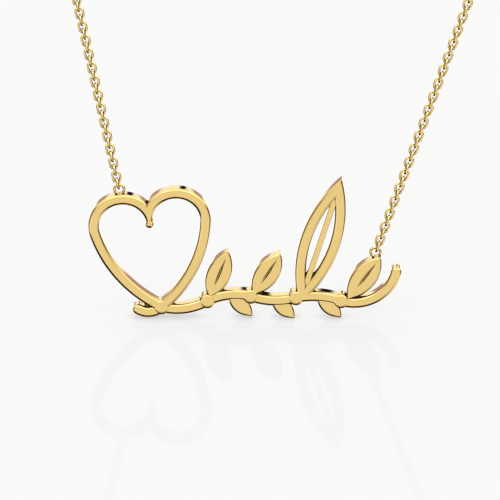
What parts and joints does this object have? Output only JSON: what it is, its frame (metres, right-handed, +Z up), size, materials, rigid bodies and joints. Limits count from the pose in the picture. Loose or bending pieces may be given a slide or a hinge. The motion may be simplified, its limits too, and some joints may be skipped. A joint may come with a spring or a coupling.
{
  "type": "nameplate necklace",
  "caption": "Fine gold cable chain with a spring ring clasp that carries a flat openwork plate by an eyelet at each end, an outlined heart and a leafy vine in place of a name.",
  "frame": {"origin": "middle of the clasp's ring, where the back of the loop rests on the nape of the neck", "axes": "+Z up as worn, +X across the neck along the clasp and the chain's back, +Y behind the wearer, so that the plate's face looks towards -Y"},
  "size_m": [0.1184, 0.1113, 0.103],
  "materials": {
    "gold": "polished yellow gold"
  },
  "bodies": {
    "loop": {"left_links": "gold", "right_links": "gold", "left_chain": "gold", "right_chain": "gold", "clasp": "gold", "end_ring": "gold"},
    "plate": {"nameplate": "gold"}
  },
  "joints": [
    {"name": "plate_swing", "type": "hinge", "parent": "loop", "child": "plate", "pos_m": [0.00068, -0.109, -0.08694], "axis": [0.9665, 0, -0.2565], "range_deg": [-40, 40]}
  ]
}
